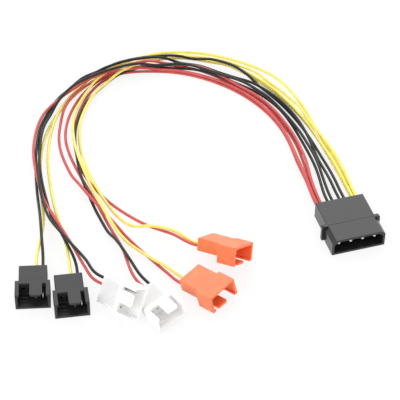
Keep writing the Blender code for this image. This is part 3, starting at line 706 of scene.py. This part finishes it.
def bright_tin(name, colour):
    """Tin over brass: fine drawing lines along the pin and slightly cloudy gloss.

    tone = cloud, between 0.86 and 1.08 times the colour; roughness = 0.2 + 0.15 * cloud;
    height = line noise drawn out along the pin.
    """
    recipe = Recipe(bpy.data.materials.new(name))
    uv = recipe.add("ShaderNodeUVMap", {"uv_map": "UVMap"})
    drawn = recipe.add("ShaderNodeMapping", values={"Vector": uv, "Scale": (0.08, 1.0, 1.0)})
    lines = recipe.noise(drawn, TIN_LINE)
    cloud = recipe.noise(recipe.place(), TIN_CLOUD)
    return recipe.finish(
        Base_Color=recipe.mixed(cloud, scaled(colour, 0.86), scaled(colour, 1.08)),
        Roughness=0.2 + cloud * 0.15,
        Normal=recipe.bump(lines, 0.004 * MM, 0.5),
        Metallic=1.0,
    )


# Sizes and colours that a user would change

COLOUR = {"subtype": "COLOR", "size": 3, "min": 0.0, "max": 1.0}


class StageSettings(bpy.types.PropertyGroup):
    """The floor, the light and the background."""

    floor: FloatVectorProperty(
        name="Floor", description="Colour of the pale floor",
        default=(0.92, 0.92, 0.92), **COLOUR,
    )
    floor_glow: FloatProperty(
        name="Floor glow", description="How far the floor shows as plain white to the camera",
        subtype="FACTOR", min=0.0, max=1.0, default=0.82,
    )
    ambient: FloatProperty(
        name="Ambient", description="Strength of the even light from all round", min=0.0, max=2.0,
        default=1.0,
    )
    key_power: FloatProperty(
        name="Key power", description="Power of the wide lamp above and behind", unit="POWER",
        min=0.0, default=3.2,
    )
    fill_power: FloatProperty(
        name="Fill power", description="Power of the wide lamp on the left", unit="POWER",
        min=0.0, default=2.0,
    )


class HousingSettings(bpy.types.PropertyGroup):
    """The moulded housings of both kinds of connector."""

    black: FloatVectorProperty(
        name="Black nylon", description="Colour of the black housings",
        default=(0.016, 0.016, 0.018), **COLOUR,
    )
    natural: FloatVectorProperty(
        name="Natural nylon", description="Colour of the uncoloured housings",
        default=(0.99, 0.978, 0.955), **COLOUR,
    )
    orange: FloatVectorProperty(
        name="Orange nylon", description="Colour of the orange housings",
        default=(1.0, 0.23, 0.085), **COLOUR,
    )
    corner_radius: FloatProperty(
        name="Corner radius", description="Radius of the housings' long corners", unit="LENGTH",
        min=0.1 * MM, max=0.6 * MM, default=0.3 * MM,
    )
    edge_radius: FloatProperty(
        name="Edge radius", description="Radius of the edges at the housings' ends", unit="LENGTH",
        min=0.02 * MM, max=0.3 * MM, default=0.2 * MM,
    )


class ContactSettings(bpy.types.PropertyGroup):
    """The plated contacts of both kinds of connector."""

    tin: FloatVectorProperty(
        name="Tin", description="Colour of the plating", default=(0.62, 0.61, 0.59), **COLOUR,
    )
    seam_depth: FloatProperty(
        name="Seam depth", description="Depth of the rolled pins' seam, as a share of the radius",
        subtype="FACTOR", min=0.0, max=0.4, default=0.12,
    )


class LeadSettings(bpy.types.PropertyGroup):
    """The twelve leads."""

    yellow: FloatVectorProperty(
        name="Yellow jacket", description="Colour of the yellow leads",
        default=(0.93, 0.8, 0.16), **COLOUR,
    )
    red: FloatVectorProperty(
        name="Red jacket", description="Colour of the red leads",
        default=(0.6, 0.085, 0.08), **COLOUR,
    )
    black: FloatVectorProperty(
        name="Black jacket", description="Colour of the black leads",
        default=(0.008, 0.008, 0.008), **COLOUR,
    )
    sides: IntProperty(
        name="Sides", description="Points round each lead", min=8, max=48, default=16,
    )
    ring_step: FloatProperty(
        name="Ring step", description="Distance between a lead's rings", unit="LENGTH",
        min=0.3 * MM, max=4.0 * MM, default=0.8 * MM,
    )


# The pieces


def make_camera():
    """The camera at the photograph's angle."""
    data = bpy.data.cameras.new("camera")
    data.lens = CAMERA_LENS
    data.clip_start = CAMERA_NEAR
    camera = linked("camera", data)
    aim = (Vector(CAMERA_TARGET) - Vector(CAMERA_PLACE)).to_track_quat("-Z", "Y")
    camera.location = CAMERA_PLACE
    camera.rotation_mode = "QUATERNION"
    camera.rotation_quaternion = aim @ Quaternion((0, 0, 1), CAMERA_ROLL)
    bpy.context.scene.camera = camera


def background_rays(recipe):
    """1 for the rays on which the plain background shows: camera, glossy and transmission rays."""
    rays = recipe.add("ShaderNodeLightPath")
    outputs = rays.socket.node.outputs
    seen = rays.worked("MAXIMUM", rays, Signal(recipe, outputs["Is Glossy Ray"]))
    return rays.worked("MAXIMUM", seen, Signal(recipe, outputs["Is Transmission Ray"]))


def make_floor(settings):
    """A wide floor that shows as plain white and keeps the cable's soft shadow."""
    mesh = bpy.data.meshes.new("floor")
    corners = [(-1, -1), (1, -1), (1, 1), (-1, 1)]
    mesh.from_pydata([(x * FLOOR_REACH, y * FLOOR_REACH, 0) for x, y in corners], [], [(0, 1, 2, 3)])
    recipe = Recipe(bpy.data.materials.new("floor_white"))
    recipe.finish(
        Base_Color=(*settings.floor, 1.0), Roughness=FLOOR_ROUGHNESS, Specular_IOR_Level=0.0
    )
    nodes = recipe.tree.nodes
    white = recipe.add("ShaderNodeEmission", values={"Color": (1, 1, 1, 1), "Strength": 1.0})
    factor = background_rays(recipe) * settings.floor_glow
    lit = Signal(recipe, nodes["Principled BSDF"].outputs[0])
    mixed = recipe.add("ShaderNodeMixShader", values={0: factor, 1: lit, 2: white})
    recipe.feed(nodes["Material Output"].inputs["Surface"], mixed)
    mesh.materials.append(recipe.owner)
    floor = linked("floor", mesh)


def make_world(settings):
    """Even light from all round, with plain white where the background itself is seen."""
    world = bpy.data.worlds.new("studio")
    bpy.context.scene.world = world
    recipe = Recipe(world)
    seen = background_rays(recipe)
    background = recipe.tree.nodes["Background"]
    background.inputs["Color"].default_value = (1, 1, 1, 1)
    recipe.feed(background.inputs["Strength"], settings.ambient + seen * (1 - settings.ambient))


def add_lamp(name, lamp, centre, power):
    """A square area lamp that faces the cable's middle."""
    offset, size = lamp
    data = bpy.data.lights.new(name, "AREA")
    data.size = size
    data.energy = power
    thing = linked(name, data)
    thing.location = centre + Vector(offset)
    thing.rotation_euler = (centre - thing.location).to_track_quat("-Z", "Y").to_euler()


def lead_grid(line, sides, ring_step):
    """The jacket of one lead: centre + r * (cos a * side + sin a * up), a circle at each ring.

    side is the level normal of the lead's direction, up is square to both, and r falls off over the
    end rounding at each end as a quarter circle.
    """
    centres = evenly_read(line, ring_step)
    ends = LEAD_END_ROUNDING * np.array(LEAD_END_STATIONS)
    along = np.concatenate([[0.0], np.cumsum(np.linalg.norm(np.diff(centres, axis=0), axis=1))])
    at = np.unique(np.concatenate([ends, along[1:-1], along[-1] - ends]))
    centres = np.stack([np.interp(at, along, column) for column in centres.T], axis=1)
    ahead = np.gradient(centres, at, axis=0)
    ahead /= np.linalg.norm(ahead, axis=1)[:, None]
    side = np.stack([ahead[:, 1], -ahead[:, 0], np.zeros(len(ahead))], axis=1)
    side /= np.linalg.norm(side, axis=1)[:, None]
    up = np.cross(side, ahead)
    left = np.minimum(at, along[-1] - at)
    short = np.clip(1 - left / ends[-1], 0, 1)
    radius = LEAD_RADIUS - JACKET_INSET - ends[-1] * (1 - np.sqrt(1 - short**2))
    a = np.arange(sides) * 2 * math.pi / sides
    ring = np.cos(a)[None, :, None] * side[:, None] + np.sin(a)[None, :, None] * up[:, None]
    return centres[:, None] + radius[:, None, None] * ring, centres


def power_housing_mesh(corner, edge):
    """The power connector's housing: a wide front shell and a plainer back block, both swept outlines.

    An ear stands on each side with its outer top corner cut off, and a fine groove runs across the
    top behind the shell. The mouth, pockets and pin holes are swept cutters that widen at the surface.
    """
    shell_back = -POWER_SHELL_LENGTH
    half = POWER_BACK_WIDTH / 2
    shell = swept(
        shell_outline(POWER_SHELL_WIDTH, POWER_SHELL_HEIGHT, 0.0, POWER_SHELL_CHAMFER),
        corner,
        [round_off(shell_back, edge, 1), round_off(0.0, edge, -1)],
    )
    back = swept(
        box_outline(-half, 0.0, half, POWER_BACK_HEIGHT),
        corner,
        [round_off(-POWER_LENGTH, edge, 1), [(shell_back + POWER_EAR_OVERLAP, 0.0)]],
    )
    ear_back = shell_back - POWER_EAR_THICKNESS
    ear_front = shell_back + POWER_EAR_OVERLAP / 2
    ears = []
    for side in (-1, 1):
        inner = side * (half - POWER_EAR_OVERLAP)
        outer = side * (half + POWER_EAR_REACH)
        outline = [
            (inner, 0.0),
            (outer, 0.0),
            (outer, POWER_BACK_HEIGHT - EAR_CUT),
            (outer - side * EAR_CUT, POWER_BACK_HEIGHT),
            (inner, POWER_BACK_HEIGHT),
        ][::side]
        ears.append([swept(outline, corner, [round_off(ear_back, edge, 1), [(ear_front, 0.0)]])])
    mouth = swept(
        shell_outline(
            POWER_SHELL_WIDTH - 2 * POWER_WALL,
            POWER_SHELL_HEIGHT - POWER_WALL,
            POWER_WALL,
            POWER_SHELL_CHAMFER,
        ),
        corner,
        [round_off(-POWER_MOUTH_DEPTH, edge, 1), flare(0.0, edge, 1)],
    )
    rows = centred_row(POWER_PITCH)
    pocket = POWER_POCKET_DIAMETER / 2
    hole = POWER_PIN_DIAMETER / 2 + HOLE_CLEARANCE
    stations = [flare(-POWER_LENGTH, edge, -1), [(POWER_POCKET_FRONT, 0.0)]]
    pockets = [hole_cutter(y, POWER_PIN_HEIGHT, pocket, pocket, stations) for y in rows]
    stations = [[(POWER_POCKET_FRONT - CUT_MARGIN, 0.0)], flare(-POWER_MOUTH_DEPTH, edge / 2, 1)]
    holes = [hole_cutter(y, POWER_PIN_HEIGHT, hole, hole, stations) for y in rows]
    # The groove's cutter reaches well past the back block at its sides and top
    seam = swept(
        box_outline(-POWER_BACK_WIDTH, POWER_BACK_HEIGHT - SEAM_DEPTH, POWER_BACK_WIDTH, POWER_LENGTH),
        SEAM_DEPTH,
        [[(shell_back - SEAM_WIDTH, 0.0), (shell_back, 0.0)]],
    )
    steps = [("UNION", [[back]]), ("DIFFERENCE", [[seam]]), ("UNION", ears)]
    steps.append(("DIFFERENCE", [[mouth], pockets, holes]))
    return shaded(carved("power_shell", shell, steps))


def hole_cutter(y, z, half, corner, stations):
    """A square cutter along x at one contact; it is round where its corner radius is its half width."""
    return swept(box_outline(y - half, z - half, y + half, z + half), corner, stations)


def fan_housing_mesh(corner, edge):
    """A fan connector's housing: a narrow back body and a wider shroud, both swept outlines.

    The mouth, slots and pockets are swept cutters that widen at the surface, the pin holes are
    straight ones, two wedges cut off the tongue's corners, and the ridges are low swept bars.
    """
    half = FAN_SHROUD_WIDTH / 2
    body_half = FAN_BODY_WIDTH / 2
    shroud = swept(
        box_outline(-half, 0.0, half, FAN_SHROUD_HEIGHT),
        corner,
        [round_off(-FAN_SHROUD_LENGTH, edge, 1), round_off(0.0, edge, -1)],
    )
    body = swept(
        box_outline(-body_half, 0.0, body_half, FAN_BODY_HEIGHT),
        corner,
        [round_off(-FAN_LENGTH, edge, 1), [(-(FAN_SHROUD_LENGTH + FAN_MOUTH_DEPTH) / 2, 0.0)]],
    )
    mouth_half = half - FAN_SIDE_WALL
    mouth = swept(
        box_outline(-mouth_half, FAN_FLOOR, mouth_half, FAN_SHROUD_HEIGHT - FAN_ROOF),
        corner,
        [round_off(-FAN_MOUTH_DEPTH, edge, 1), flare(0.0, edge, 1)],
    )
    rows = centred_row(-FAN_PITCH)
    pocket = FAN_POCKET_SIZE / 2
    hole = FAN_PIN_SIZE / 2 + HOLE_CLEARANCE
    stations = [flare(-FAN_LENGTH, edge / 2, -1), [(FAN_POCKET_FRONT, 0.0)]]
    pockets = [hole_cutter(y, FAN_PIN_HEIGHT, pocket, corner, stations) for y in rows]
    stations = [[(FAN_POCKET_FRONT - CUT_MARGIN, 0.0), (CUT_MARGIN - FAN_MOUTH_DEPTH, 0.0)]]
    holes = [hole_cutter(y, FAN_PIN_HEIGHT, hole, hole * HOLE_CORNER, stations) for y in rows]
    cut = [[mouth], *roof_cutters(rows[1], edge), pockets, holes]
    steps = [("UNION", [[body]]), ("DIFFERENCE", cut), ("UNION", ridge_bars(edge))]
    return shaded(carved("fan_shell", shroud, steps))


def roof_cutters(tongue_centre, edge):
    """Two groups of upright cutters: the openings beside the tongue and wedges at its front corners."""
    left = tongue_centre + FAN_TONGUE_WIDTH / 2
    right = tongue_centre - FAN_TONGUE_WIDTH / 2
    under_roof = FAN_SHROUD_HEIGHT - FAN_ROOF
    start = FAN_SLOT_START - FAN_SHROUD_LENGTH
    lip_edge = FAN_SHROUD_WIDTH / 2 - FAN_LIP_WIDTH
    stations = [[(under_roof - CUT_MARGIN / 2, 0.0)], flare(FAN_SHROUD_HEIGHT, edge / 2, 1)]
    slots = [
        swept(box_outline(start, low, CUT_MARGIN, high), edge, stations, SWEEP_Z)
        for low, high in ((-lip_edge, right), (left, lip_edge))
    ]
    past = WEDGE_MARGIN
    deep = TONGUE_CUT + past
    stations = [[(under_roof - past, 0.0), (FAN_SHROUD_HEIGHT + past, 0.0)]]
    corners = (
        ((-deep, left + past), (past, left - deep), (past, left + past)),
        ((past, right - past), (past, right + deep), (-deep, right - past)),
    )
    return slots, [swept(corner, WEDGE_CORNER, stations, SWEEP_Z) for corner in corners]


def ridge_bars(edge):
    """The three floor ridges: bars swept up from the floor with rounded tops."""
    mouth_half = FAN_SHROUD_WIDTH / 2 - FAN_SIDE_WALL
    right = FAN_SIDE_WALL / 2 - mouth_half
    stations = [[(FAN_FLOOR / 2, 0.0)], round_off(FAN_FLOOR + FAN_RIDGE_HEIGHT, edge, -1)]
    bars = []
    for back in FAN_RIDGE_SETBACKS:
        outline = box_outline(-back - FAN_RIDGE_LENGTH, right, -back, right + FAN_RIDGE_WIDTH)
        bars.append([swept(outline, edge * RIDGE_CORNER, stations, SWEEP_Z)])
    return bars


def power_pin_mesh(seam_depth):
    """A rolled pin on the X axis: a turned profile with a seam along its top and a rounded nose.

    radius(x, a) = profile(x) * (1 - seam_depth * exp(-(a / seam angle)^2)), with a measured from the
    top; the nose's profile is radius * cos t at x = nose start + nose length * sin t / sin t_end.
    """
    barrel_front = POWER_POCKET_FRONT - SEAT_GAP
    barrel_back = barrel_front - POWER_BARREL_LENGTH
    radius = POWER_PIN_DIAMETER / 2
    barrel = POWER_BARREL_DIAMETER / 2
    bevel = POWER_BARREL_BEVEL
    nose = POWER_NOSE_SHARE * radius
    t = np.linspace(0, POWER_NOSE_END, NOSE_STEPS)
    nose_x = -POWER_PIN_SETBACK - nose + nose * np.sin(t) / np.sin(t[-1])
    x = [barrel_back, barrel_back + bevel, barrel_front - bevel, barrel_front, barrel_front + bevel]
    r = [barrel - bevel, barrel, barrel, barrel - bevel, radius]
    x = np.concatenate([x, nose_x])
    r = np.concatenate([r, radius * np.cos(t)])
    a = np.linspace(-math.pi, math.pi, PIN_SIDES, endpoint=False)
    shape = r[:, None] * (1 - seam_depth * np.exp(-((a / PIN_SEAM_ANGLE) ** 2)))[None]
    along = np.broadcast_to(x[:, None], shape.shape)
    grid = np.stack([along, -shape * np.sin(a), shape * np.cos(a)], axis=-1)
    return shaded(mesh_of("power_pin", [grid], measured=True))


def fan_pin_mesh():
    """A square pin on the X axis with softened corners and a tapered point.

    y = h * c |c|^(-2/3) and z = h * s |s|^(-2/3), a squared-off circle of half width h(x), where c
    and s are the cosine and sine round it.
    """
    barrel_front = FAN_POCKET_FRONT - SEAT_GAP
    barrel_back = barrel_front - FAN_BARREL_LENGTH
    half = FAN_PIN_SIZE / 2
    barrel = FAN_BARREL_SIZE / 2
    bevel = FAN_BARREL_BEVEL
    before_tip, width = np.array(FAN_PIN_POINT).T
    x = [barrel_back, barrel_back + bevel, barrel_front - bevel, barrel_front, barrel_front + bevel]
    h = [barrel - bevel, barrel, barrel, barrel - bevel, half]
    x = np.concatenate([x, -FAN_PIN_SETBACK - FAN_PIN_TAPER * before_tip])
    h = np.concatenate([h, half * width])
    a = np.linspace(0, 2 * math.pi, PIN_SIDES, endpoint=False) + math.pi / PIN_SIDES
    c = np.cos(a)
    s = np.sin(a)
    across = c * np.abs(c) ** (-2 / 3)
    upward = s * np.abs(s) ** (-2 / 3)
    along = np.broadcast_to(x[:, None], (len(x), PIN_SIDES))
    grid = np.stack([along, h[:, None] * across, h[:, None] * upward], axis=-1)
    return shaded(mesh_of("fan_pin", [grid], measured=True))


# Operators, one for each group of like pieces


class CABLE_OT_stage(bpy.types.Operator):
    """Camera, pale floor, even light and two wide soft lamps"""

    bl_idname = "cable.stage"
    bl_label = "Stage"

    def execute(self, context):
        settings = context.scene.cable_stage
        make_camera()
        make_floor(settings)
        make_world(settings)
        centre = (CAD_LOW + CAD_HIGH) / 2
        add_lamp("key_lamp", KEY_LAMP, centre, settings.key_power)
        add_lamp("fill_lamp", FILL_LAMP, centre, settings.fill_power)
        context.scene.view_settings.view_transform = "Standard"
        return {"FINISHED"}


class CABLE_OT_leads(bpy.types.Operator):
    """Twelve jacketed leads laid over each other on the floor"""

    bl_idname = "cable.leads"
    bl_label = "Leads"

    def execute(self, context):
        settings = context.scene.cable_leads
        jackets = {
            colour: soft_jacket(f"{colour}_jacket", getattr(settings, colour))
            for colour in ("yellow", "red", "black")
        }
        for name, line in laid_leads().items():
            colour, _, _, power_position, seat, _ = LEADS[name]
            grid, centres = lead_grid(line, settings.sides, settings.ring_step)
            mesh = shaded(mesh_of(name, [grid], measured=True))
            flex = add_piece(name.replace("lead", "flex"), mesh, jackets[colour], name)
            leaving = power_end(power_position, seat)[1]
        return {"FINISHED"}


class CABLE_OT_power_housing(bpy.types.Operator):
    """The four-pin power connector's housing"""

    bl_idname = "cable.power_housing"
    bl_label = "Power housing"

    def execute(self, context):
        settings = context.scene.cable_housings
        mesh = power_housing_mesh(settings.corner_radius, settings.edge_radius)
        mesh.transform(power_frame())
        colour, *finish = NYLONS["power"]
        nylon = moulded_nylon("black_nylon_power", getattr(settings, colour), *finish)
        add_piece("power_shell", mesh, nylon, "power_housing", moulded=True)
        return {"FINISHED"}


class CABLE_OT_power_contacts(bpy.types.Operator):
    """The power connector's four rolled pins"""

    bl_idname = "cable.power_contacts"
    bl_label = "Power contacts"

    def execute(self, context):
        settings = context.scene.cable_contacts
        tin = bright_tin("bright_tin_power", settings.tin)
        pin = power_pin_mesh(settings.seam_depth)
        for index, y in enumerate(centred_row(POWER_PITCH)):
            mesh = pin.copy()
            mesh.transform(power_frame() @ Matrix.Translation((0, y, POWER_PIN_HEIGHT)))
            number = index + 1
            add_piece(f"power_pin_{number}", mesh, tin, f"power_contact_{number}")
        return {"FINISHED"}


class CABLE_OT_fan_housings(bpy.types.Operator):
    """The six fan connectors' housings"""

    bl_idname = "cable.fan_housings"
    bl_label = "Fan housings"

    def execute(self, context):
        settings = context.scene.cable_housings
        shell = fan_housing_mesh(settings.corner_radius, settings.edge_radius)
        nylons = {}
        for volts, slot in FAN_SLOTS.items():
            colour, *finish = NYLONS[volts]
            nylons[volts] = moulded_nylon(f"{slot}_fan", getattr(settings, colour), *finish)
        for place in FAN_PLACES:
            volts = place.split("_")[0]
            mesh = shell.copy()
            mesh.transform(fan_frame(place))
            name = f"fan_shell_{place}"
            add_piece(name, mesh, nylons[volts], f"fan_housing_{place}", moulded=True)
        return {"FINISHED"}


class CABLE_OT_fan_contacts(bpy.types.Operator):
    """Two square pins in each fan connector"""

    bl_idname = "cable.fan_contacts"
    bl_label = "Fan contacts"

    def execute(self, context):
        # The fan pins' tin colour is darkened by a constant share: painted shade for the dark mouths
        # round them
        tin = bright_tin("bright_tin_fan", scaled(context.scene.cable_contacts.tin, FAN_TIN_PAINTED_SHADE))
        pin = fan_pin_mesh()
        for place in FAN_PLACES:
            for number, y in enumerate(centred_row(-FAN_PITCH)[:2], start=1):
                mesh = pin.copy()
                mesh.transform(fan_frame(place) @ Matrix.Translation((0, y, FAN_PIN_HEIGHT)))
                name = f"fan_pin_{place}_{number}"
                add_piece(name, mesh, tin, f"fan_contact_{place}_{number}")
        return {"FINISHED"}


class CABLE_PT_looks(bpy.types.Panel):
    """The cable's operators in the order in which they run"""

    bl_idname = "CABLE_PT_looks"
    bl_label = "Fan Adapter Cable"
    bl_space_type = "VIEW_3D"
    bl_region_type = "UI"
    bl_category = "Cable"

    def draw(self, context):
        for operator in OPERATORS:
            self.layout.operator(operator.bl_idname)


SETTINGS = {
    "cable_stage": StageSettings,
    "cable_leads": LeadSettings,
    "cable_housings": HousingSettings,
    "cable_contacts": ContactSettings,
}
OPERATORS = (
    CABLE_OT_stage,
    CABLE_OT_leads,
    CABLE_OT_power_housing,
    CABLE_OT_power_contacts,
    CABLE_OT_fan_housings,
    CABLE_OT_fan_contacts,
)


def register():
    for group in (*SETTINGS.values(), *OPERATORS, CABLE_PT_looks):
        bpy.utils.register_class(group)
    for name, group in SETTINGS.items():
        setattr(bpy.types.Scene, name, PointerProperty(type=group))


def unregister():
    for name in SETTINGS:
        delattr(bpy.types.Scene, name)
    for group in (CABLE_PT_looks, *reversed(OPERATORS), *SETTINGS.values()):
        bpy.utils.unregister_class(group)


def main():
    register()
    bpy.ops.cable.stage()
    bpy.ops.cable.leads()
    bpy.ops.cable.power_housing()
    bpy.ops.cable.power_contacts()
    bpy.ops.cable.fan_housings()
    bpy.ops.cable.fan_contacts()


if __name__ == "__main__":
    main()
